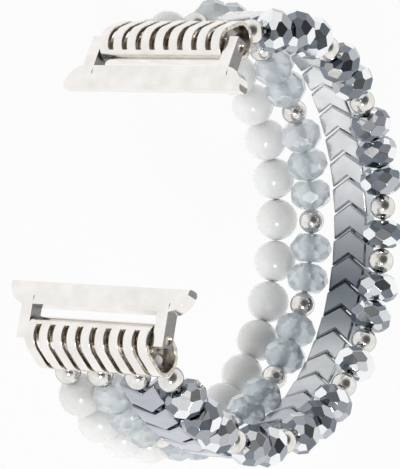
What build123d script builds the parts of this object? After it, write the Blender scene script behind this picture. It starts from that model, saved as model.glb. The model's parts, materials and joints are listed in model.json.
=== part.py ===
from build123d import *
import os
from math import acos, atan2, cos, degrees, pi, radians, sin, sqrt, tan

# Stretch bead band for a wrist watch: two slide-in end fittings, each with a
# ribbed oval tube on a hinge pin, joined by four elastic strands of beads.
# X runs along the tubes, +Y points to the upper fitting, +Z points away from
# the wrist. The origin is the centre of the space that the watch case fills,
# halfway between the two slide bars. All lengths are millimetres.

# Ribbed tube
rib_count = 9
rib_width = 1.5
rib_pitch = 2.4
tube_long = 8.1
tube_short = 5.5
tube_wall = 0.65
tube_strip = 1.0
tube_gap = 1.07
rim_chamfer = 0.2
upper_tilt = 37.9
lower_tilt = 24.0

# Hinge
pin_diameter = 1.4
pin_drop = 0.68
barrel_wall = 0.55
pin_clearance = 0.05
pin_recess = 0.3
pin_chamfer = 0.15
ear_gap = 0.25
ear_width = 1.85
ear_height = 2.2
ear_corner = 0.6
ear_reach = 1.1

# Slide bar and its latch
slide_length = 30.2
slide_center = 16.0
slide_width = 3.4
slide_thickness = 2.0
slide_flat = 0.3
slide_edge = 0.55
latch_offset = 0.3
latch_clearance = 0.08
plate_length = 7.0
plate_width = 2.2
plate_thickness = 0.3
pocket_length = 5.4
pocket_width = 1.7
pocket_depth = 1.3
button_length = 4.0
button_width = 1.1
button_flange = 0.35
button_stand = 0.5
leaf_thickness = 0.12
leaf_width = 1.2

# Beads
pearl_diameter = 6.25
rondelle_diameter = 6.3
rondelle_table = 1.35
rondelle_shoulder = 2.65
rondelle_sides = 8
rondelle_gap = 0.4
aqua_pitch = 4.6
mirror_pitch = 4.432
ball_diameter = 3.7
bead_gap = 0.05
bore_diameter = 1.26
cord_diameter = 0.6
cord_sides = 6
cord_break = 0.1
knot_diameter = 1.9
knot_clearance = 0.4

# Facets of the round beads, kept few because there are so many beads: sides
# round each bead, and rings of facets in each half
pearl_sides = 12
pearl_rings = 3
ball_sides = 10
ball_rings = 2

# Chevron plates
chevron_width = 5.9
chevron_drop = 1.9
chevron_thickness = 2.6
chevron_pitch = 4.01
chevron_gap = 0.12
chevron_bevel = 0.28

# Loop: centre of the arc round the back, and how far outside the pearls'
# cord line the band flexes
back_y = 0.12
back_drop = 18.72
flex_rise = 3.0

# Strands: place along the tube of the beads and of the end balls, and heading
# at the upper and lower tube, in degrees from straight down
pearl_x = -9.35
aqua_x = -2.95
chevron_x = 3.45
mirror_upper_x = 10.8
mirror_lower_x = 9.66
pearl_end_x = -8.7
aqua_end_x = -3.1
chevron_end_x = 3.3
mirror_end_x = 8.8
pearl_headings = (30.6, 32.2)
aqua_headings = (47.2, 29.4)
chevron_headings = (44.6, 30.5)
mirror_headings = (32.9, 29.7)
closing_steps = 40

# Bead patterns of the five strand sections, from the upper fitting down:
# R is a faceted rondelle and o is a metal ball
pearl_counts = (4, 4, 4, 3, 4)
chevron_counts = (7, 6, 7, 4, 7)
aqua_patterns = ("oRRRoR", "RoRRRo", "RRoRRo", "RRoR", "RRoRRR")
mirror_patterns = ("RRRoRR", "oRRRoR", "oRRoRo", "RRRo", "RRoRRR")

# Sizes that follow from those above
tube_length = (rib_count - 1) * rib_pitch + rib_width
barrel_radius = pin_diameter / 2 + pin_clearance + barrel_wall
pin_offset = tube_long / 2 - tube_wall - barrel_radius
slide_corner = slide_width - slide_flat
latch_center = slide_center + latch_offset
slot_length = tube_long + tube_wall - tube_strip
slot_shift = (tube_wall + tube_strip) / 2
tube_bulge = tube_short / 2 + (tube_long / 2 - tube_short / 2 - pin_offset) * sin(radians(lower_tilt))
pin_y = slide_center + slide_width / 2 + tube_gap + tube_bulge
pin_z = -pin_drop
ear_start = tube_length / 2 + ear_gap
ear_end = pin_y + ear_reach
ear_slope = degrees(atan2(pin_z, pin_y - slide_center))
ball_length = sqrt(ball_diameter**2 - bore_diameter**2)
ball_pitch = ball_length + bead_gap
tip_run = pin_offset + tube_long / 2 + ball_length / 2 + bead_gap
pearl_pitch = pearl_diameter + bead_gap
arm_slope = atan2(chevron_drop, chevron_width / 2)
notch_seat = ball_diameter / 2 / cos(arm_slope) + bead_gap
ends = {"upper": (1, radians(upper_tilt)), "lower": (-1, radians(lower_tilt))}


def tube_point(end, run):
    """Point (y, z) on a tube's long middle line, at a run down from the hinge pin."""
    side, tilt = ends[end]
    return side * (pin_y + run * sin(tilt)), pin_z - run * cos(tilt)


# A strand's cord line has an arc at each tube and a wider one round the back.
# Headings are turns from straight down, outwards.
def end_arc(end, heading, radius):
    """Arc from a tube to the back arc: side, tip, start, radius and last heading."""
    side = ends[end][0]
    tip_y, tip_z = tube_point(end, tip_run)
    start = radians(heading)
    away_y = side * (tip_y - back_y)
    away_z = tip_z + back_drop
    reach = away_y * cos(start) + away_z * sin(start)
    small = (radius**2 - away_y**2 - away_z**2) / (2 * (radius - reach))
    join = atan2(away_z - small * sin(start), away_y - small * cos(start))
    return side, tip_y, tip_z, start, small, join


def arc_length(arc):
    side, tip_y, tip_z, start, small, join = arc
    return small * (start - join)


def line_length(line):
    upper, lower, radius = line
    return arc_length(upper) + arc_length(lower) + radius * (upper[-1] + lower[-1] + pi)


def strand_line(headings, length):
    """Upper arc, lower arc and back radius of the strand line that has this length."""
    radius = length / 4
    for step in range(closing_steps):
        line = end_arc("upper", headings[0], radius), end_arc("lower", headings[1], radius), radius
        radius += (length - line_length(line)) / pi
    return line


def arc_point(arc, run, rise):
    side, tip_y, tip_z, start, small, join = arc
    turn = start - run / small
    y = tip_y + side * (small * (cos(turn) - cos(start)) + rise * cos(turn))
    return y, tip_z - small * (sin(start) - sin(turn)) + rise * sin(turn)


def line_point(line, run, rise=0.0):
    """Point (y, z) at a run down the strand line, raised outwards by rise."""
    upper, lower, radius = line
    left = line_length(line) - run
    if run < arc_length(upper):
        return arc_point(upper, run, rise)
    if left < arc_length(lower):
        return arc_point(lower, left, rise)
    turn = upper[-1] - (run - arc_length(upper)) / radius
    return back_y + (radius + rise) * cos(turn), (radius + rise) * sin(turn) - back_drop


def closed_line(headings, patterns, pitches, last_gap):
    """Strand line as long as its beads and end balls need."""
    length = sum(pitches[letter] for letter in "".join(patterns))
    return strand_line(headings, length + ball_pitch / 2 + last_gap)


pearl_patterns = ["P" * count for count in pearl_counts]
chevron_patterns = ["V" * count for count in chevron_counts]
pearl_pitches = {"P": pearl_pitch}
aqua_pitches = {"R": aqua_pitch, "o": ball_pitch}
chevron_pitches = {"V": chevron_pitch}
mirror_pitches = {"R": mirror_pitch, "o": ball_pitch}
pearl_line = closed_line(pearl_headings, pearl_patterns, pearl_pitches, ball_pitch / 2)
aqua_line = closed_line(aqua_headings, aqua_patterns, aqua_pitches, ball_pitch / 2)
chevron_line = closed_line(chevron_headings, chevron_patterns, chevron_pitches, notch_seat)
mirror_line = closed_line(mirror_headings, mirror_patterns, mirror_pitches, ball_pitch / 2)
inner_radius = min(chevron_line[0][-2], chevron_line[1][-2])
inner_share = (inner_radius - chevron_thickness / 2) / inner_radius
chevron_length = chevron_pitch * inner_share - chevron_gap

# Each strand: line, x of its first and last bead, x of its end balls, bead
# patterns and pitches
strands = {
    "pearl": (pearl_line, pearl_x, pearl_x, pearl_end_x, pearl_patterns, pearl_pitches),
    "aqua": (aqua_line, aqua_x, aqua_x, aqua_end_x, aqua_patterns, aqua_pitches),
    "chevron": (
        chevron_line,
        chevron_x,
        chevron_x,
        chevron_end_x,
        chevron_patterns,
        chevron_pitches,
    ),
    "mirror": (
        mirror_line,
        mirror_upper_x,
        mirror_lower_x,
        mirror_end_x,
        mirror_patterns,
        mirror_pitches,
    ),
}


def strand_point(strand, run):
    """Point on a strand's cord at a run from its upper end ball."""
    line, upper_x, lower_x = strands[strand][:3]
    share = run / line_length(line)
    return Vector(upper_x + (lower_x - upper_x) * share, *line_point(line, run))


def lead(strand, end):
    """Straight stretch of cord at an end: end ball centre, next bead's centre, direction."""
    line, upper_x, lower_x, end_x, patterns, pitches = strands[strand]
    gap = ball_pitch / 2
    if end == "upper":
        far = strand_point(strand, gap + pitches[patterns[0][0]])
    else:
        if strand == "chevron":
            gap = notch_seat
        far = strand_point(strand, line_length(line) - gap - pitches[patterns[-1][-1]])
    ball = Vector(end_x, *tube_point(end, tip_run))
    aim = (far - ball).normalized()
    return ball, (ball + aim * gap + far) / 2, aim


finished = []
os.makedirs("parts", exist_ok=True)


def finish(name, part):
    part.label = name
    export_step(part, "parts/" + name + ".step")
    finished.append(name)


# Upper slide bar with its pin and latch, which the lower ones mirror
pin_plane = Plane(origin=(0, pin_y, pin_z), x_dir=(0, 1, 0), z_dir=(1, 0, 0))
latch_plane = Plane(
    origin=(0, latch_center, -slide_thickness / 2), x_dir=(1, 0, 0), z_dir=(0, 0, 1)
)

# Slide bar with two ears for the hinge pin
with BuildPart() as upper_slide_bar:
    with BuildSketch(Plane.XY.offset(-slide_thickness / 2)):
        with Locations((0, slide_center)):
            Rectangle(slide_length, slide_width)
        fillet(vertices().group_by(Axis.Y)[-1], slide_corner)
    extrude(amount=slide_thickness)
    fillet(edges().group_by(Axis.Y)[0].filter_by(Axis.X), slide_edge)
    for side in (-1, 1):
        with BuildSketch(Plane.YZ.offset(side * (ear_start + ear_width / 2) - ear_width / 2)):
            with Locations(((slide_center + ear_end) / 2, pin_z / 2)):
                Rectangle(ear_end - slide_center, ear_height, rotation=ear_slope)
            fillet(vertices().group_by(Axis.Y)[-1], ear_corner)
        extrude(amount=ear_width)
    with BuildSketch(pin_plane):
        Circle(pin_diameter / 2)
    extrude(amount=slide_length / 2, both=True, mode=Mode.SUBTRACT)
    with BuildSketch(latch_plane):
        SlotOverall(plate_length, plate_width)
    extrude(amount=plate_thickness, mode=Mode.SUBTRACT)
    with BuildSketch(latch_plane.offset(plate_thickness)):
        SlotOverall(pocket_length, pocket_width)
    extrude(amount=pocket_depth, mode=Mode.SUBTRACT)

with BuildPart() as upper_hinge_pin:
    with BuildSketch(pin_plane.offset(-(ear_start + ear_width - pin_recess))):
        Circle(pin_diameter / 2)
    extrude(amount=2 * (ear_start + ear_width - pin_recess))
    chamfer(edges().filter_by(GeomType.CIRCLE), pin_chamfer)

with BuildPart() as upper_latch_plate:
    with BuildSketch(latch_plane):
        SlotOverall(plate_length, plate_width)
        SlotOverall(
            button_length + 2 * latch_clearance,
            button_width + 2 * latch_clearance,
            mode=Mode.SUBTRACT,
        )
    extrude(amount=plate_thickness)

with BuildPart() as upper_latch_button:
    with BuildSketch(latch_plane.offset(-button_stand)):
        SlotOverall(button_length, button_width)
    extrude(amount=button_stand + plate_thickness)
    chamfer(edges().group_by(Axis.Z)[0], button_width / 5)
    with BuildSketch(latch_plane.offset(plate_thickness)):
        SlotOverall(
            pocket_length - 2 * latch_clearance, pocket_width - 2 * latch_clearance
        )
    extrude(amount=button_flange)

# Arched leaf spring between the button's flange and the pocket's roof
leaf_rise = pocket_depth - button_flange
leaf_half = button_length / 2
leaf_base = -slide_thickness / 2 + plate_thickness + button_flange
leaf_plane = Plane(
    origin=(0, latch_center + leaf_width / 2, leaf_base), x_dir=(1, 0, 0), z_dir=(0, -1, 0)
)
with BuildPart() as upper_latch_spring:
    with BuildSketch(leaf_plane):
        with BuildLine():
            ThreePointArc((-leaf_half, 0), (0, leaf_rise), (leaf_half, 0))
            Line((leaf_half, 0), (leaf_half - leaf_thickness, 0))
            ThreePointArc(
                (leaf_half - leaf_thickness, 0),
                (0, leaf_rise - leaf_thickness),
                (leaf_thickness - leaf_half, 0),
            )
            Line((leaf_thickness - leaf_half, 0), (-leaf_half, 0))
        make_face()
    extrude(amount=leaf_width)

fitting = {
    "slide_bar": upper_slide_bar,
    "hinge_pin": upper_hinge_pin,
    "latch_plate": upper_latch_plate,
    "latch_button": upper_latch_button,
    "latch_spring": upper_latch_spring,
}
for name, upper in fitting.items():
    finish("upper_" + name, upper.part)
    with BuildPart() as lower:
        mirror(upper.part, about=Plane.XZ)
    finish("lower_" + name, lower.part)


def faceted_ball(diameter, sides, rings):
    """Ball of flat facets, cut off at both ends where a bore would open."""
    mouth = acos(bore_diameter / diameter)
    lifts = [mouth * ring / rings for ring in range(rings + 1)]
    with BuildPart() as ball:
        for low, high in zip(lifts, lifts[1:]):
            rise = (sin(high) - sin(low)) * diameter / 2
            inset = (cos(low) - cos(high)) * diameter / 2 * cos(radians(180 / sides))
            with BuildSketch(Plane.XY.offset(sin(low) * diameter / 2)):
                RegularPolygon(cos(low) * diameter / 2, sides)
            extrude(amount=rise, taper=degrees(atan2(inset, rise)))
        mirror(about=Plane.XY)
    return ball.part


with BuildPart() as metal_ball:
    add(faceted_ball(ball_diameter, ball_sides, ball_rings))
    with BuildSketch():
        RegularPolygon(bore_diameter / 2, ball_sides)
    extrude(amount=ball_length, both=True, mode=Mode.SUBTRACT)

knot_run = ball_length / 2 + bead_gap + tube_wall + knot_clearance + knot_diameter / 2
for end, (side, tilt) in ends.items():
    tube_y, tube_z = tube_point(end, pin_offset)
    tube_plane = Plane(
        origin=(0, tube_y, tube_z), x_dir=(1, 0, 0), z_dir=(0, side * cos(tilt), sin(tilt))
    )
    rim_plane = Plane(
        origin=(-tube_length / 2, tube_y, tube_z),
        x_dir=(0, side * sin(tilt), -cos(tilt)),
        z_dir=(1, 0, 0),
    )
    barrel_plane = Plane(
        origin=(rim_chamfer - tube_length / 2, side * pin_y, pin_z),
        x_dir=(0, 1, 0),
        z_dir=(1, 0, 0),
    )
    leads = [lead(strand, end) for strand in strands]

    # Oval tube, slotted into ribs on the outer side only, from the hinge pin's
    # end down to a strip above the beads
    with BuildPart() as ribbed_tube:
        with BuildSketch(rim_plane):
            SlotOverall(tube_long, tube_short)
            SlotOverall(
                tube_long - 2 * tube_wall, tube_short - 2 * tube_wall, mode=Mode.SUBTRACT
            )
        extrude(amount=tube_length)
        rims = edges().group_by(Axis.X)[0] + edges().group_by(Axis.X)[-1]
        chamfer(rims, rim_chamfer)
        with BuildSketch(tube_plane):
            with Locations((0, -side * slot_shift)):
                with GridLocations(rib_pitch, 0, rib_count - 1, 1):
                    Rectangle(rib_pitch - rib_width, slot_length)
        extrude(amount=tube_short, mode=Mode.SUBTRACT)
        for ball, bead, aim in leads:
            with BuildSketch(Plane(origin=ball, z_dir=-aim)):
                Circle(bore_diameter / 2)
            extrude(amount=ball_length / 2 + tube_wall + bore_diameter, mode=Mode.SUBTRACT)
    finish(end + "_ribbed_tube", ribbed_tube.part)

    with BuildPart() as hinge_barrel:
        with BuildSketch(barrel_plane):
            Circle(barrel_radius)
            Circle(pin_diameter / 2 + pin_clearance, mode=Mode.SUBTRACT)
        extrude(amount=tube_length - 2 * rim_chamfer)
    finish(end + "_hinge_barrel", hinge_barrel.part)

    # Balls between the tube and the strands
    with BuildPart() as end_balls:
        for ball, bead, aim in leads:
            with Locations(Plane(origin=ball, z_dir=aim).location):
                add(metal_ball.part)
    finish(end + "_end_balls", end_balls.part)

    # Each cord's end, knotted inside the tube
    with BuildPart() as cord_knots:
        for ball, bead, aim in leads:
            knot_plane = Plane(origin=ball - aim * knot_run, z_dir=aim)
            with Locations(knot_plane.location):
                add(faceted_ball(knot_diameter, cord_sides, ball_rings))
            with BuildSketch(knot_plane):
                RegularPolygon(cord_diameter / 2, cord_sides)
            extrude(amount=knot_run + ball_pitch / 2)
    finish(end + "_cord_knots", cord_knots.part)

# One bead of each kind, centred on its bore, with the bore along Z
with BuildPart() as pearl:
    add(faceted_ball(pearl_diameter, pearl_sides, pearl_rings))
    with BuildSketch():
        RegularPolygon(bore_diameter / 2, pearl_sides)
    extrude(amount=pearl_diameter, both=True, mode=Mode.SUBTRACT)

half_facet = 180 / rondelle_sides
apothem_share = cos(radians(half_facet))


def faceted_rondelle(length):
    """Ring of girdle facets, crossed by a flatter ring of shoulder facets half a facet on."""
    shoulder_height = length / 4
    girdle_slope = atan2(
        (rondelle_diameter / 2 - rondelle_shoulder) * apothem_share, shoulder_height
    )
    shoulder_slope = atan2(
        (rondelle_shoulder - rondelle_table) * apothem_share, length / 2 - shoulder_height
    )
    shoulder_radius = rondelle_shoulder + shoulder_height * tan(shoulder_slope) / apothem_share
    with BuildPart() as rondelle:
        with BuildSketch():
            RegularPolygon(rondelle_diameter / 2, rondelle_sides)
        extrude(amount=length / 2, taper=degrees(girdle_slope))
        with BuildSketch():
            RegularPolygon(shoulder_radius, rondelle_sides, rotation=half_facet)
        extrude(amount=length / 2, taper=degrees(shoulder_slope), mode=Mode.INTERSECT)
        mirror(about=Plane.XY)
        with BuildSketch():
            RegularPolygon(bore_diameter / 2, rondelle_sides, rotation=half_facet)
        extrude(amount=length, both=True, mode=Mode.SUBTRACT)
    return rondelle.part


# Chevron plate: local X across the band, Z along the cord, Y towards the wrist
half_width = chevron_width / 2
half_length = chevron_length / 2
with BuildPart() as chevron:
    with BuildSketch(Plane.XZ.offset(-chevron_thickness / 2)):
        with BuildLine():
            Polyline(
                (0, half_length),
                (half_width, chevron_drop + half_length),
                (half_width, chevron_drop - half_length),
                (0, -half_length),
                (-half_width, chevron_drop - half_length),
                (-half_width, chevron_drop + half_length),
                close=True,
            )
        make_face()
    extrude(amount=chevron_thickness)
    chamfer(edges().group_by(Axis.Y)[0] + edges().group_by(Axis.Y)[-1], chevron_bevel)
    with BuildSketch():
        RegularPolygon(bore_diameter / 2, cord_sides)
    extrude(amount=chevron_pitch + chevron_drop, both=True, mode=Mode.SUBTRACT)


def string_beads(strand):
    """Points between a strand's beads, and each section's bead letters and locations."""
    line, upper_x, lower_x, end_x, patterns, pitches = strands[strand]
    letters = "".join(patterns)
    runs = [ball_pitch / 2]
    for letter in letters:
        runs.append(runs[-1] + pitches[letter])
    points = [strand_point(strand, run) for run in runs]
    upper_ball, first_bead, aim = lead(strand, "upper")
    points[0] = upper_ball + aim * (ball_pitch / 2)
    lower_ball, last_bead, aim = lead(strand, "lower")
    points[-1] = lower_ball + aim * (ball_pitch / 2)
    spots = []
    middles = [strand_point(strand, run + pitches[letter] / 2) for run, letter in zip(runs, letters)]
    middles[0] = first_bead
    middles[-1] = last_bead
    for letter, middle, begin, end in zip(letters, middles, points, points[1:]):
        spot = Plane(origin=middle, x_dir=(1, 0, 0), z_dir=end - begin)
        spots.append((letter, spot.location))
    found = []
    begin = 0
    for pattern in patterns:
        end = begin + len(pattern)
        found.append((points[begin : end + 1], spots[begin:end]))
        begin = end
    return found


bead_kinds = {
    "pearl": {"P": ("pearl_beads", pearl.part)},
    "aqua": {
        "R": ("aqua_rondelles", faceted_rondelle(aqua_pitch - rondelle_gap)),
        "o": ("aqua_spacers", metal_ball.part),
    },
    "chevron": {"V": ("chevron_beads", chevron.part)},
    "mirror": {
        "R": ("mirror_rondelles", faceted_rondelle(mirror_pitch - rondelle_gap)),
        "o": ("mirror_spacers", metal_ball.part),
    },
}
strung = {strand: string_beads(strand) for strand in strands}
for strand, found in strung.items():
    for number, (points, spots) in enumerate(found, start=1):
        for kind, (name, bead) in bead_kinds[strand].items():
            with BuildPart() as beads:
                with Locations(*[spot for letter, spot in spots if letter == kind]):
                    add(bead)
            finish(name + "_" + str(number), beads.part)

# Elastic cords of each section, straight from bead to bead
for number in range(len(pearl_counts)):
    with BuildPart() as cords:
        for found in strung.values():
            points = found[number][0]
            first_aim = (points[1] - points[0]).normalized()
            last_aim = (points[-2] - points[-1]).normalized()
            points[0] += first_aim * (cord_break / 2)
            points[-1] += last_aim * (cord_break / 2)
            with BuildLine() as route:
                Polyline(*points)
            with BuildSketch(Plane(origin=points[0], z_dir=first_aim)):
                RegularPolygon(cord_diameter / 2, cord_sides)
            sweep(path=route.line, transition=Transition.RIGHT)
    finish("cords_" + str(number + 1), cords.part)

# Where each section flexes against the next, for the joint axes along X
flex_runs = [ball_pitch / 2]
for count in pearl_counts:
    flex_runs.append(flex_runs[-1] + count * pearl_pitch)
for number, run in enumerate(flex_runs, start=1):
    y, z = line_point(pearl_line, run, flex_rise)
    print("flex", number, "y", round(y, 3), "z", round(z, 3))
for name, line in (("pearl", pearl_line), ("aqua", aqua_line), ("chevron", chevron_line)):
    print(name, "line radii", [round(size, 3) for size in (line[0][-2], line[-1], line[1][-2])])
print("upper pin y", round(pin_y, 3), "z", round(pin_z, 3))
print("nodes", len(finished))
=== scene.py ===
import json
import math
import random

import bmesh
import bpy
from mathutils import Matrix, Vector


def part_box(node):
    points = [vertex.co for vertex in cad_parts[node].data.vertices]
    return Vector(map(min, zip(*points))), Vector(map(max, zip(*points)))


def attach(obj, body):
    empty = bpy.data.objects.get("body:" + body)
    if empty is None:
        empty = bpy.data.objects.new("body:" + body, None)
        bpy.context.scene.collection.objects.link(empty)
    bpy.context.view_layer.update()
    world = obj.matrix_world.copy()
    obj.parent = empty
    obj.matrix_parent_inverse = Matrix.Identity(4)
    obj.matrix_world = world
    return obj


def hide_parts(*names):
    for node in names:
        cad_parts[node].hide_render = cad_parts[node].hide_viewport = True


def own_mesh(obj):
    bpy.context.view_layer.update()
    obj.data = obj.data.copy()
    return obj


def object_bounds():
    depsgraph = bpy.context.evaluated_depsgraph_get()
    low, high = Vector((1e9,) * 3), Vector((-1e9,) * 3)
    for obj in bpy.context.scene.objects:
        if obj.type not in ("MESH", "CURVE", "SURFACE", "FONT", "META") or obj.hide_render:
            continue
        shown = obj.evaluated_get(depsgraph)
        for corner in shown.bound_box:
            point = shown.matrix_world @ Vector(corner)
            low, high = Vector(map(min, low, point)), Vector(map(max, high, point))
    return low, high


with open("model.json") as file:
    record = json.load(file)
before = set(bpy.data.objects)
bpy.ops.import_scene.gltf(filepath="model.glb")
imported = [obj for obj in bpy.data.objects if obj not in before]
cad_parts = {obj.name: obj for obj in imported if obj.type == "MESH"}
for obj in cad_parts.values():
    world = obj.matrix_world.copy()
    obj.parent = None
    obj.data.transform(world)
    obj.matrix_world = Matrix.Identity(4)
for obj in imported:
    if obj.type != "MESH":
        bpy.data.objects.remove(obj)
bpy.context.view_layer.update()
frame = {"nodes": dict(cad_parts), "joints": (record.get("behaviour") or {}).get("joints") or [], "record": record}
mm = 0.001
random.seed(8)

# Camera at the photograph's viewing angle, in the part's frame
view = {
    "photoSize": (400, 469),
    "focalPixels": 3363.7,
    "sensor": 36,
    "clip": (0.01, 20),
    "place": Vector((276.29, -124.15, 347.31)) * mm,
    "right": Vector((0.8124, 0.2293, -0.5361)),
    "up": Vector((-0.0365, 0.9376, 0.3458)),
}


def makeCamera():
    camera = bpy.data.objects.new("camera", bpy.data.cameras.new("camera"))
    bpy.context.scene.collection.objects.link(camera)
    right = view["right"].normalized()
    up = (view["up"] - right * view["up"].dot(right)).normalized()
    turned = Matrix((right, up, right.cross(up))).transposed().to_4x4()
    camera.matrix_world = Matrix.Translation(view["place"]) @ turned
    camera.data.sensor_width = view["sensor"]
    camera.data.lens = view["focalPixels"] * view["sensor"] / max(view["photoSize"])
    camera.data.clip_start, camera.data.clip_end = view["clip"]
    bpy.context.scene.camera = camera


makeCamera()
print("camera")


# Materials: a Wire is a socket that adds and multiplies like a number
class Wire:
    def __init__(self, graph, socket):
        self.graph = graph
        self.socket = socket

    def maths(self, operation, first, second):
        inputs = {0: first, 1: second}
        return self.graph.node("ShaderNodeMath", {"operation": operation}, inputs)

    def __add__(self, other):
        return self.maths("ADD", self, other)

    def __radd__(self, other):
        return self.maths("ADD", other, self)

    def __sub__(self, other):
        return self.maths("SUBTRACT", self, other)

    def __rsub__(self, other):
        return self.maths("SUBTRACT", other, self)

    def __mul__(self, other):
        return self.maths("MULTIPLY", self, other)

    def __rmul__(self, other):
        return self.maths("MULTIPLY", other, self)


class Graph:
    def __init__(self, tree):
        self.tree = tree

    def plug(self, socket, value):
        if isinstance(value, Wire):
            self.tree.links.new(value.socket, socket)
        elif isinstance(value, tuple) and len(value) < len(socket.default_value):
            socket.default_value = (*value, 1.0)
        else:
            socket.default_value = value

    def node(self, kind, settings=None, inputs=None, output=0):
        made = self.tree.nodes.new(kind)
        for name, value in (settings or {}).items():
            if name == "stops":
                stops = made.color_ramp.elements
                stops[0].position, stops[-1].position = value[0][0], value[-1][0]
                for position, color in value[1:-1]:
                    stops.new(position)
                for stop, (position, color) in zip(stops, value):
                    stop.color = (*color, 1.0)
            else:
                setattr(made, name, value)
        for key, value in (inputs or {}).items():
            self.plug(made.inputs[key], value)
        return Wire(self, made.outputs[output])


class Finish(Graph):
    def __init__(self, name, **constants):
        self.material = bpy.data.materials.new(name)
        self.material.use_nodes = True
        super().__init__(self.material.node_tree)
        self.shader = self.tree.nodes["Principled BSDF"]
        for word, value in constants.items():
            self.feed(word, value)

    def feed(self, word, value):
        self.plug(self.shader.inputs[word.replace("_", " ")], value)

    def place(self):
        return self.node("ShaderNodeTexCoord", output="Object")

    def noise(self, scale, detail=2.0, roughness=0.5):
        inputs = {
            "Vector": self.place(),
            "Scale": scale,
            "Detail": detail,
            "Roughness": roughness,
        }
        return self.node("ShaderNodeTexNoise", inputs=inputs)

    def mix(self, share, first, second):
        # a Mix node's factor, two colours and colour result go by number
        inputs = {0: share, 6: first, 7: second}
        return self.node("ShaderNodeMix", {"data_type": "RGBA"}, inputs, output=2)

    def span(self, value, low, high):
        inputs = {"Value": value, "From Min": low, "From Max": high}
        return self.node("ShaderNodeMapRange", inputs=inputs)

    def attribute(self, name):
        return self.node("ShaderNodeAttribute", {"attribute_name": name}, output="Fac")

    def bump(self, height, strength, distance):
        inputs = {"Height": height, "Strength": strength, "Distance": distance}
        self.feed("Normal", self.node("ShaderNodeBump", inputs=inputs))


def nickelFinish():
    # bright plate, with painted shade, brown and speckled, on the tubes' inner walls and painted shade in speckled
    # grey on the ears' flanks, which are also rougher
    finish = Finish("nickel", Metallic=1.0)
    cloud = finish.span(finish.noise(350.0), 0.35, 0.7)
    plate = finish.mix(cloud, (0.95, 0.925, 0.90), (0.86, 0.835, 0.80))
    # painted shade: the tubes' inner walls are darker, brown and speckled
    inside = finish.attribute("inside")
    specks = finish.span(finish.noise(1800.0, 3.0), 0.4, 0.65)
    innerWallShade = finish.mix(specks, (0.47, 0.415, 0.35), (0.88, 0.83, 0.76))
    # painted shade: the slide bars' flanks are dark grey
    flank = finish.attribute("flank")
    flankShade = finish.mix(finish.noise(2200.0, 3.0), (0.20, 0.20, 0.20), (0.36, 0.355, 0.35))
    finish.feed("Base_Color", finish.mix(flank, finish.mix(inside, plate, innerWallShade), flankShade))
    polish = 0.1 + 0.12 * finish.noise(1500.0, 4.0)
    finish.feed("Roughness", polish + 0.12 * inside + 0.2 * flank)
    finish.bump(finish.noise(900.0, 3.0), 0.15, 0.02 * mm)
    return finish.material


def steelFinish():
    finish = Finish("steel", Metallic=1.0)
    cloud = finish.span(finish.noise(500.0, 3.0), 0.35, 0.7)
    finish.feed("Base_Color", finish.mix(cloud, (0.62, 0.575, 0.51), (0.40, 0.36, 0.31)))
    finish.feed("Roughness", 0.16 + 0.2 * finish.noise(1200.0))
    return finish.material


def ballFinish():
    finish = Finish("silverBall", Metallic=1.0)
    cloud = finish.span(finish.noise(700.0, 3.0), 0.35, 0.75)
    silver = finish.mix(cloud, (0.88, 0.86, 0.825), (0.68, 0.66, 0.625))
    # painted reflection: each ball's rim darkens where its surface turns away from the camera
    facing = finish.node("ShaderNodeLayerWeight", inputs={"Blend": 0.5}, output="Facing")
    rim = finish.span(facing, 0.55, 0.9)
    finish.feed("Base_Color", finish.mix(rim, silver, (0.30, 0.285, 0.26)))
    finish.feed("Roughness", 0.03 + 0.07 * finish.noise(900.0))
    finish.bump(finish.noise(1400.0, 2.0), 0.1, 0.01 * mm)
    return finish.material


def milkyFinish():
    finish = Finish(
        "milkyStone",
        Subsurface_Weight=1.0,
        Subsurface_Scale=2.6 * mm,
        Subsurface_Radius=(1.0, 0.97, 0.93),
        Coat_Weight=1.0,
        Coat_Roughness=0.05,
    )
    cloud = finish.span(finish.noise(180.0, 3.0), 0.3, 0.72)
    # the tone carries random tone and painted shade: lower pearls greyer
    pale = finish.mix(finish.attribute("tone"), (0.71, 0.715, 0.70), (0.96, 0.96, 0.945))
    finish.feed("Base_Color", finish.mix(0.3 * cloud, pale, (0.82, 0.82, 0.805)))
    finish.feed("Roughness", 0.22 + 0.1 * finish.noise(500.0))
    return finish.material


def aquaFinish():
    # clouded pale crystal, clearer in some beads than in others
    finish = Finish(
        "aquaCrystal",
        Transmission_Weight=0.6,
        IOR=1.5,
        Coat_Weight=1.0,
        Coat_Roughness=0.03,
    )
    # the tone carries painted shade at the back of the loop and painted glints on a few facets
    tone = finish.attribute("tone")
    tint = finish.mix(tone, (0.72, 0.81, 0.87), (0.95, 0.985, 0.995))
    cloud = finish.span(finish.noise(260.0, 3.0), 0.35, 0.7)
    finish.feed("Base_Color", finish.mix(0.35 * cloud, tint, (0.88, 0.91, 0.965)))
    finish.feed("Roughness", 0.08 + 0.16 * finish.noise(600.0))
    return finish.material


def mirrorFinish():
    finish = Finish("mirrorCrystal", Metallic=1.0)
    # painted reflections: each facet's tone picks a dark or a light mirror colour
    tone = finish.attribute("tone")
    haze = finish.noise(500.0, 3.0)
    dark = finish.mix(haze, (0.12, 0.14, 0.17), (0.23, 0.255, 0.29))
    light = finish.mix(haze, (0.97, 0.98, 0.985), (0.84, 0.87, 0.895))
    finish.feed("Base_Color", finish.mix(tone, dark, light))
    finish.feed("Roughness", 0.02 + 0.06 * haze)
    return finish.material


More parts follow.
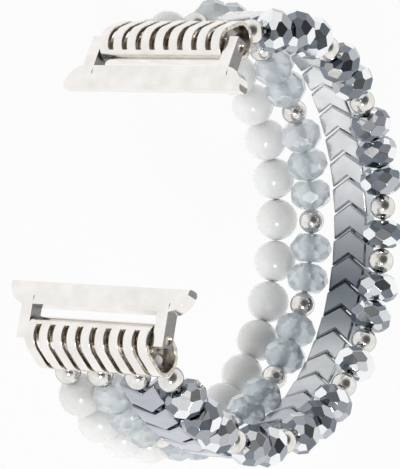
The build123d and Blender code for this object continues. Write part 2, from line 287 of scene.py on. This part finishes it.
def hematiteFinish():
    # polished plates with painted reflections, darkest at mid height and lightest near the upper fitting
    finish = Finish("hematite", Metallic=1.0)
    across = finish.node("ShaderNodeSeparateXYZ", inputs={"Vector": finish.place()}, output=1)
    stops = (
        (0.0, (0.60, 0.62, 0.68)),
        (0.1, (0.46, 0.48, 0.53)),
        (0.24, (0.50, 0.52, 0.55)),
        (0.3, (0.62, 0.645, 0.655)),
        (0.4, (0.57, 0.595, 0.605)),
        (0.48, (0.22, 0.24, 0.26)),
        (0.58, (0.12, 0.14, 0.165)),
        (0.69, (0.34, 0.36, 0.38)),
        (0.8, (0.74, 0.76, 0.775)),
        (1.0, (0.84, 0.855, 0.865)),
    )
    reach = 30 * mm
    share = finish.span(across, -reach, reach)
    cloud = finish.span(finish.noise(300.0, 3.0), 0.3, 0.7)
    shade = finish.node("ShaderNodeValToRGB", {"stops": stops}, {0: share})
    finish.feed("Base_Color", finish.mix(0.25 * cloud, shade, (0.30, 0.31, 0.34)))
    finish.feed("Roughness", 0.1 + 0.1 * finish.noise(700.0))
    return finish.material


def cordFinish():
    finish = Finish("cord")
    fleck = finish.noise(2500.0)
    finish.feed("Base_Color", finish.mix(fleck, (0.80, 0.80, 0.79), (0.90, 0.90, 0.89)))
    finish.feed("Roughness", 0.45 + 0.1 * finish.noise(900.0))
    return finish.material


finishes = {
    "nickel": nickelFinish(),
    "steel": steelFinish(),
    "silver_balls": ballFinish(),
    "milky_stone": milkyFinish(),
    "aqua_crystal": aquaFinish(),
    "mirror_crystal": mirrorFinish(),
    "hematite": hematiteFinish(),
    "cord": cordFinish(),
}
print("materials", len(finishes))

# Pieces
records = frame["record"]["subparts"]
slotOf = {row["node"]: row["material_slot"] for row in records}


def bodyOf(node):
    for body, facts in frame["record"]["behaviour"]["bodies"].items():
        if node in facts:
            return body


def showPiece(shape, node, bevel=None, limit=35, segments=2):
    # turns a shape into the piece that stands for a node
    mesh = bpy.data.meshes.new(node + "_shown")
    shape.to_mesh(mesh)
    shape.free()
    piece = bpy.data.objects.new(node + "_shown", mesh)
    bpy.context.scene.collection.objects.link(piece)
    mesh.materials.append(finishes[slotOf[node]])
    if bevel:
        rounding = piece.modifiers.new("rounding", "BEVEL")
        rounding.width = bevel
        rounding.segments = segments
        rounding.limit_method = "ANGLE"
        rounding.angle_limit = math.radians(limit)
        rounding.harden_normals = True
    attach(piece, bodyOf(node))
    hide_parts(node)
    return piece


form = {
    "weld": 0.002 * mm,
    "flat": math.radians(0.5),
    "crease": math.radians(25),
    "sideways": 0.99,
}


def meshOf(node):
    # a node's own mesh, with its flat faces made whole
    shape = bmesh.new()
    shape.from_mesh(frame["nodes"][node].data)
    bmesh.ops.remove_doubles(shape, verts=shape.verts, dist=form["weld"])
    bmesh.ops.dissolve_limit(
        shape, angle_limit=form["flat"], verts=shape.verts, edges=shape.edges
    )
    return shape


def smoothOver(shape, crease):
    # edges that turn by more than the crease stay sharp
    for face in shape.faces:
        face.smooth = True
    for edge in shape.edges:
        edge.smooth = edge.calc_face_angle(0) < crease


def middlesOf(node):
    # middle of each separate solid in a node
    shape = meshOf(node)
    left = set(shape.verts)
    middles = []
    while left:
        group = [left.pop()]
        for vert in group:
            near = {edge.other_vert(vert) for edge in vert.link_edges} & left
            left -= near
            group.extend(near)
        lowest = Vector([min(vert.co[axis] for vert in group) for axis in range(3)])
        highest = Vector([max(vert.co[axis] for vert in group) for axis in range(3)])
        middles.append((lowest + highest) / 2)
    shape.free()
    return middles


def keepTemplate(shape):
    mesh = bpy.data.meshes.new("template")
    shape.to_mesh(mesh)
    shape.free()
    return mesh


def addCopy(shape, template, matrix, tones=None):
    # tones gives each copied face its own brightness
    copied = bmesh.new()
    copied.from_mesh(template)
    bmesh.ops.transform(copied, matrix=matrix, verts=copied.verts)
    if tones:
        layer = copied.faces.layers.float.new("tone")
        for face in copied.faces:
            face[layer] = tones()
    mesh = bpy.data.meshes.new("copy")
    copied.to_mesh(mesh)
    copied.free()
    shape.from_mesh(mesh)
    bpy.data.meshes.remove(mesh)


def aimed(middle, direction, spin=0.0):
    turned = direction.to_track_quat("Z", "X").to_matrix().to_4x4()
    return Matrix.Translation(middle) @ turned @ Matrix.Rotation(spin, 4, "Z")


# Round beads
bead = {
    "pearl": 3.125 * mm,
    "pearlSteps": 48,
    "ball": 1.85 * mm,
    "ballSteps": 32,
    "bore": 0.42 * mm,
    "weld": 0.0005 * mm,
    "crease": math.radians(40),
}


def roundBead(radius, steps):
    # turned from its outline, with the bore's wall as one straight edge
    shape = bmesh.new()
    first = shape.verts.new((radius, 0, 0))
    mouth = math.acos(bead["bore"] / radius)
    bmesh.ops.rotate(shape, verts=[first], matrix=Matrix.Rotation(mouth, 3, "Y"))
    bmesh.ops.spin(shape, geom=[first], axis=(0, -1, 0), angle=2 * mouth, steps=steps)
    shape.verts.ensure_lookup_table()
    ends = sorted(shape.verts, key=lambda vert: vert.co.z)
    shape.edges.new((ends[0], ends[-1]))
    profile = shape.verts[:] + shape.edges[:]
    bmesh.ops.spin(
        shape,
        geom=profile,
        axis=(0, 0, 1),
        angle=math.tau,
        steps=2 * steps,
        use_merge=True,
    )
    bmesh.ops.remove_doubles(shape, verts=shape.verts, dist=bead["weld"])
    bmesh.ops.recalc_face_normals(shape, faces=shape.faces)
    smoothOver(shape, bead["crease"])
    return shape


# Faceted beads: girdle facets, a ring of shoulder facets half a facet on, and
# a ring of crown facets round the table
crystal = {
    "radius": 3.15 * mm,
    "aquaHalf": 2.1 * mm,
    "mirrorHalf": 2.016 * mm,
    "table": 1.35 * mm,
    "sides": 8,
    "shoulder": math.radians(33),
    "crown": math.radians(58),
    "shoulderShare": 1.05,
    "crownShare": 1.12,
    "blank": 4,  # the cube it is cut from, in radii
    "cutLimit": 1e-7,
    "endwise": 0.99,
    "bevel": 0.07 * mm,
}


def cutFlat(shape, point, normal):
    made = bmesh.ops.bisect_plane(
        shape,
        geom=shape.verts[:] + shape.edges[:] + shape.faces[:],
        plane_co=point,
        plane_no=normal,
        dist=crystal["cutLimit"],
        clear_outer=True,
    )
    rim = [item for item in made["geom_cut"] if isinstance(item, bmesh.types.BMEdge)]
    if rim:
        bmesh.ops.edgenet_fill(shape, edges=rim)


def crystalBead(half):
    shape = bmesh.new()
    radius, table, sides = crystal["radius"], crystal["table"], crystal["sides"]
    bmesh.ops.create_cube(shape, size=radius * crystal["blank"])
    turn = math.tau / sides
    cutFlat(shape, (0, 0, half), (0, 0, 1))
    cutFlat(shape, (0, 0, -half), (0, 0, -1))
    rings = (
        (0.0, 0.0, radius * math.cos(turn / 2), 0.0),
        (0.5, crystal["shoulder"], radius * crystal["shoulderShare"], 0.0),
        (0.0, crystal["crown"], table * crystal["crownShare"], half),
    )
    for side in range(sides):
        for share, slope, reach, start in rings:
            angle = (side + share) * turn
            around = Vector((math.cos(angle), math.sin(angle), 0))
            for up in (-1, 1):
                normal = around * math.cos(slope) + Vector((0, 0, up * math.sin(slope)))
                cutFlat(shape, around * reach + Vector((0, 0, up * start)), normal)
    ends = [face for face in shape.faces if abs(face.normal.z) > crystal["endwise"]]
    ring = table - bead["bore"]
    holes = []
    for face in ends:
        bmesh.ops.inset_region(shape, faces=[face], thickness=ring, use_even_offset=True)
        holes += list(face.edges)
    bmesh.ops.delete(shape, geom=ends, context="FACES_ONLY")
    bmesh.ops.bridge_loops(shape, edges=holes)
    bmesh.ops.recalc_face_normals(shape, faces=shape.faces)
    return shape


# Tones of the beads, by their turn round the loop: random tone, with painted shade, painted glints and painted
# reflections
shades = {
    # pearls: painted shade in the second half and on the last bead
    "pearlFirstHalf": (0.85, 1.0),
    "pearlSecondHalf": (0.5, 0.75),
    "pearlLast": 0.1,
    "pearlLastTurn": math.radians(278),
    # aqua: painted shade at the back of the loop
    "aquaFront": (0.5, 0.85),
    "aquaBack": (0.1, 0.35),
    "aquaBackTurns": (math.radians(150), math.radians(245)),
    "aquaSpread": (-0.15, 0.2),
    # painted glints on a few aqua facets
    "aquaGlint": 1.6,
    "aquaGlintShare": 0.1,
    # mirror facets: painted reflections
    "mirror": (0.0, 0.0, 0.06, 0.15, 0.3, 0.45, 0.7, 1.0, 1.0, 1.0),
}


def pearlTones(turn):
    # one for the whole bead, random, with painted shade: greyer low down and greyest by the lower fitting
    low, high = shades["pearlFirstHalf" if turn < math.pi else "pearlSecondHalf"]
    last = turn > shades["pearlLastTurn"]
    tone = shades["pearlLast"] if last else random.uniform(low, high)
    return lambda: tone


def aquaTones(turn):
    # painted shade, darker and bluer at the back of the loop; painted glints on a few facets
    start, stop = shades["aquaBackTurns"]
    tone = random.uniform(*shades["aquaBack" if start < turn < stop else "aquaFront"])

    def faceTone():
        if random.random() < shades["aquaGlintShare"]:
            return shades["aquaGlint"]
        return tone + random.uniform(*shades["aquaSpread"])

    return faceTone


def mirrorTones(turn):
    # painted reflections, the same all round the loop
    return lambda: random.choice(shades["mirror"])


sections = range(1, 6)
loopMiddle = Vector((0, 0, -20 * mm))
endBalls = {}
for end in ("upper", "lower"):
    endBalls[end] = sorted(middlesOf(end + "_end_balls"), key=lambda middle: middle.x)


def aroundLoop(middle):
    # angle round the loop from its open side, past the upper fitting to the lower one
    away = middle - loopMiddle
    return math.atan2(away.y, away.z) % math.tau


def strandOf(order, *kinds):
    # beads of one strand, each with the direction of its cord
    beads = []
    for kind in kinds:
        for section in sections:
            for middle in middlesOf(f"{kind}_{section}"):
                beads.append({"node": f"{kind}_{section}", "middle": middle})
    beads.sort(key=lambda found: aroundLoop(found["middle"]))
    middles = [found["middle"] for found in beads]
    line = [endBalls["upper"][order], *middles, endBalls["lower"][order]]
    for found, before, after in zip(beads, line, line[2:]):
        found["along"] = (after - before).normalized()
        found["turn"] = aroundLoop(found["middle"])
    return beads


strands = {
    "pearl": strandOf(0, "pearl_beads"),
    "aqua": strandOf(1, "aqua_rondelles", "aqua_spacers"),
    "chevron": strandOf(2, "chevron_beads"),
    "mirror": strandOf(3, "mirror_rondelles", "mirror_spacers"),
}
templates = {
    "pearl": keepTemplate(roundBead(bead["pearl"], bead["pearlSteps"])),
    "ball": keepTemplate(roundBead(bead["ball"], bead["ballSteps"])),
    "aqua": keepTemplate(crystalBead(crystal["aquaHalf"])),
    "mirror": keepTemplate(crystalBead(crystal["mirrorHalf"])),
}
beadKinds = {
    "pearl_beads": ("pearl", pearlTones),
    "aqua_rondelles": ("aqua", aquaTones),
    "aqua_spacers": ("ball", None),
    "mirror_rondelles": ("mirror", mirrorTones),
    "mirror_spacers": ("ball", None),
}


def makeBeads():
    for name in ("pearl", "aqua", "mirror"):
        groups = {}
        for found in strands[name]:
            groups.setdefault(found["node"], []).append(found)
        for node, beads in groups.items():
            template, tones = beadKinds[node.rpartition("_")[0]]
            shape = bmesh.new()
            for found in beads:
                matrix = aimed(found["middle"], found["along"], random.uniform(0, math.tau))
                faceTones = tones(found["turn"]) if tones else None
                addCopy(shape, templates[template], matrix, faceTones)
            showPiece(shape, node, bevel=crystal["bevel"] if "rondelles" in node else None)


def makeEndBalls():
    for end, pick in (("upper", 0), ("lower", -1)):
        shape = bmesh.new()
        for middle, strand in zip(endBalls[end], strands.values()):
            direction = (strand[pick]["middle"] - middle).normalized()
            addCopy(shape, templates["ball"], aimed(middle, direction))
        showPiece(shape, f"{end}_end_balls")


makeBeads()
makeEndBalls()
print("beads", sum(len(strand) for strand in strands.values()))

# Ribbed tubes
tube = {
    "ribs": 9,
    "rib": 1.6 * mm,
    "pitch": 2.3875 * mm,
    "long": 8.1 * mm,
    "short": 5.5 * mm,
    "wall": 0.65 * mm,
    "strip": 1.0 * mm,
    "slotEdge": 0.05 * mm,
    "steps": 68,
    "flatCuts": 9,
    "crease": math.radians(40),
    "bevel": 0.15 * mm,
    "bevelLimit": 50,
    "bevelSegments": 3,
}


def pinOf(end):
    for joint in frame["joints"]:
        if joint["name"] == end + "_hinge":
            return Vector(joint["pos_m"])


def growRow(shape, edges, step):
    # one more ring of faces along the tube
    made = bmesh.ops.extrude_edge_only(shape, edges=edges)["geom"]
    moved = [item for item in made if isinstance(item, bmesh.types.BMVert)]
    bmesh.ops.translate(shape, vec=(0, 0, step), verts=moved)
    faces = [item for item in made if isinstance(item, bmesh.types.BMFace)]
    rim = [item for item in made if isinstance(item, bmesh.types.BMEdge) and item.is_boundary]
    return rim, faces


def makeTube(end):
    node = end + "_ribbed_tube"
    low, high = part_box(node)
    middle = (low + high) / 2
    along = (middle - pinOf(end)).normalized()
    outwards = Vector((1, 0, 0)).cross(along)
    if outwards.z < 0:
        outwards = -outwards
    shape = bmesh.new()
    half = tube["short"] / 2
    straight = tube["long"] / 2 - half
    bmesh.ops.create_circle(shape, segments=tube["steps"], radius=half)
    halfStep = Matrix.Rotation(math.tau / (2 * tube["steps"]), 3, "Z")
    bmesh.ops.rotate(shape, verts=shape.verts, matrix=halfStep)
    for vert in shape.verts:
        vert.co.x += math.copysign(straight, vert.co.x)
    longEdges = [edge for edge in shape.edges if edge.calc_length() > straight]
    bmesh.ops.subdivide_edges(shape, edges=longEdges, cuts=tube["flatCuts"])
    edges = shape.edges[:]
    slots = []
    for rib in range(tube["ribs"]):
        edges, faces = growRow(shape, edges, tube["rib"])
        if rib < tube["ribs"] - 1:
            edges, faces = growRow(shape, edges, tube["pitch"] - tube["rib"])
            slots += faces
    reach = tube["long"] / 2 - tube["strip"]
    centers = {face: face.calc_center_median() for face in slots}
    edge = tube["slotEdge"]
    cut = [face for face, spot in centers.items() if spot.y > edge and spot.x < reach]
    bmesh.ops.delete(shape, geom=cut, context="FACES")
    bmesh.ops.recalc_face_normals(shape, faces=shape.faces)
    bmesh.ops.solidify(shape, geom=shape.faces[:], thickness=tube["wall"])
    # marks the tube's inner walls, which get painted shade
    layer = shape.faces.layers.float.new("inside")
    for face in shape.faces:
        spot = face.calc_center_median()
        away = Vector((max(abs(spot.x) - straight, 0), spot.y)).length
        face[layer] = 1.0 if away < half - tube["wall"] / 2 else 0.0
    smoothOver(shape, tube["crease"])
    turned = Matrix((along, outwards, along.cross(outwards))).transposed().to_4x4()
    start = Matrix.Translation((0, 0, (low.x - high.x) / 2))
    seat = Matrix.Translation(middle) @ turned @ start
    bmesh.ops.transform(shape, matrix=seat, verts=shape.verts)
    bmesh.ops.recalc_face_normals(shape, faces=shape.faces)
    showPiece(shape, node, tube["bevel"], tube["bevelLimit"], tube["bevelSegments"])


def keepForm(node, bevel=None):
    # a node in its own form, with a slide bar's flanks marked for painted shade
    shape = meshOf(node)
    layer = shape.faces.layers.float.new("flank")
    for face in shape.faces:
        side = "slide_bar" in node and abs(face.normal.x) > form["sideways"]
        face[layer] = 1.0 if side else 0.0
    smoothOver(shape, form["crease"])
    return showPiece(shape, node, bevel=bevel)


slideBar = {"bevel": 0.12 * mm}


def makeSpring(end):
    # the leaf spring in its own form, on a mesh of its own
    spring = keepForm(end + "_latch_spring")
    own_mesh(spring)


def makeFittings():
    for end in ("upper", "lower"):
        makeTube(end)
        keepForm(end + "_slide_bar", slideBar["bevel"])
        for name in ("hinge_pin", "hinge_barrel", "latch_plate", "latch_button", "cord_knots"):
            keepForm(f"{end}_{name}")
        makeSpring(end)


chevron = {"bevel": 0.1 * mm, "deepBevel": 0.14 * mm, "deepSections": (1, 2)}


def makeChevrons():
    # the plates that meet at flex_2 are cut back more, to clear each other there
    for section in sections:
        node = f"chevron_beads_{section}"
        deep = section in chevron["deepSections"]
        showPiece(meshOf(node), node, chevron["deepBevel" if deep else "bevel"])


def makeCords():
    # each cord is cut at the flex joints and parts there as the band opens
    for section in sections:
        keepForm(f"cords_{section}")


makeFittings()
makeChevrons()
makeCords()

# Studio
studio = {
    "floorDrop": 25 * mm,  # clears the band as it opens
    "floorSize": 4.0,
    "floorGlow": 0.9,
    "dark": Vector((0.78, 0.12, 0.61)),
    "levels": ((0.3, 0.96), (0.6, 0.82), (0.74, 0.5), (0.84, 0.26), (0.92, 0.13), (1.0, 0.11)),
}


def makeFloor():
    # glows for the camera and in reflections, and is plainly lit for other rays
    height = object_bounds()[0].z - studio["floorDrop"]
    shape = bmesh.new()
    bmesh.ops.create_grid(shape, size=studio["floorSize"])
    bmesh.ops.translate(shape, vec=(0, 0, height), verts=shape.verts)
    mesh = bpy.data.meshes.new("floor")
    shape.to_mesh(mesh)
    shape.free()
    floor = bpy.data.objects.new("floor", mesh)
    bpy.context.scene.collection.objects.link(floor)
    finish = Finish("floorWhite", Base_Color=(0.9, 0.9, 0.9), Roughness=0.9)
    path = finish.node("ShaderNodeLightPath", output="Is Camera Ray")
    outputs = path.socket.node.outputs
    glossy = Wire(finish, outputs["Is Glossy Ray"])
    mirrored = glossy + Wire(finish, outputs["Is Transmission Ray"])
    glow = finish.node("ShaderNodeEmission", inputs={"Color": (1.0, 1.0, 1.0)})
    shaded = Wire(finish, finish.shader.outputs[0])
    inputs = {0: (path + mirrored) * studio["floorGlow"], 1: shaded, 2: glow}
    finish.tree.links.new(
        finish.node("ShaderNodeMixShader", inputs=inputs).socket,
        finish.tree.nodes["Material Output"].inputs["Surface"],
    )
    mesh.materials.append(finish.material)


keyLamp = {"place": Vector((0.33, -0.41, 0.30)), "width": 0.13, "power": 1.1}


def makeLamp():
    data = bpy.data.lights.new("key", "AREA")
    data.shape = "ELLIPSE"
    data.size = data.size_y = keyLamp["width"]
    data.energy = keyLamp["power"]
    lamp = bpy.data.objects.new("key", data)
    aim = loopMiddle - keyLamp["place"]
    turned = aim.to_track_quat("-Z", "Y").to_matrix().to_4x4()
    lamp.matrix_world = Matrix.Translation(keyLamp["place"]) @ turned
    bpy.context.scene.collection.objects.link(lamp)


def makeWorld():
    # pale all round, dark behind the camera, a little right of it and above
    world = bpy.data.worlds.new("studio")
    world.use_nodes = True
    bpy.context.scene.world = world
    graph = Graph(world.node_tree)
    aim = graph.node("ShaderNodeTexCoord", output="Generated")
    inputs = {0: aim, 1: tuple(studio["dark"].normalized())}
    product = {"operation": "DOT_PRODUCT"}
    facing = graph.node("ShaderNodeVectorMath", product, inputs, output="Value")
    stops = [(position, (level, level, level)) for position, level in studio["levels"]]
    glow = graph.node("ShaderNodeValToRGB", {"stops": stops}, {0: facing})
    graph.plug(graph.tree.nodes["Background"].inputs["Color"], glow)


makeFloor()
makeLamp()
makeWorld()
bpy.context.scene.view_settings.view_transform = "Standard"
print("studio")
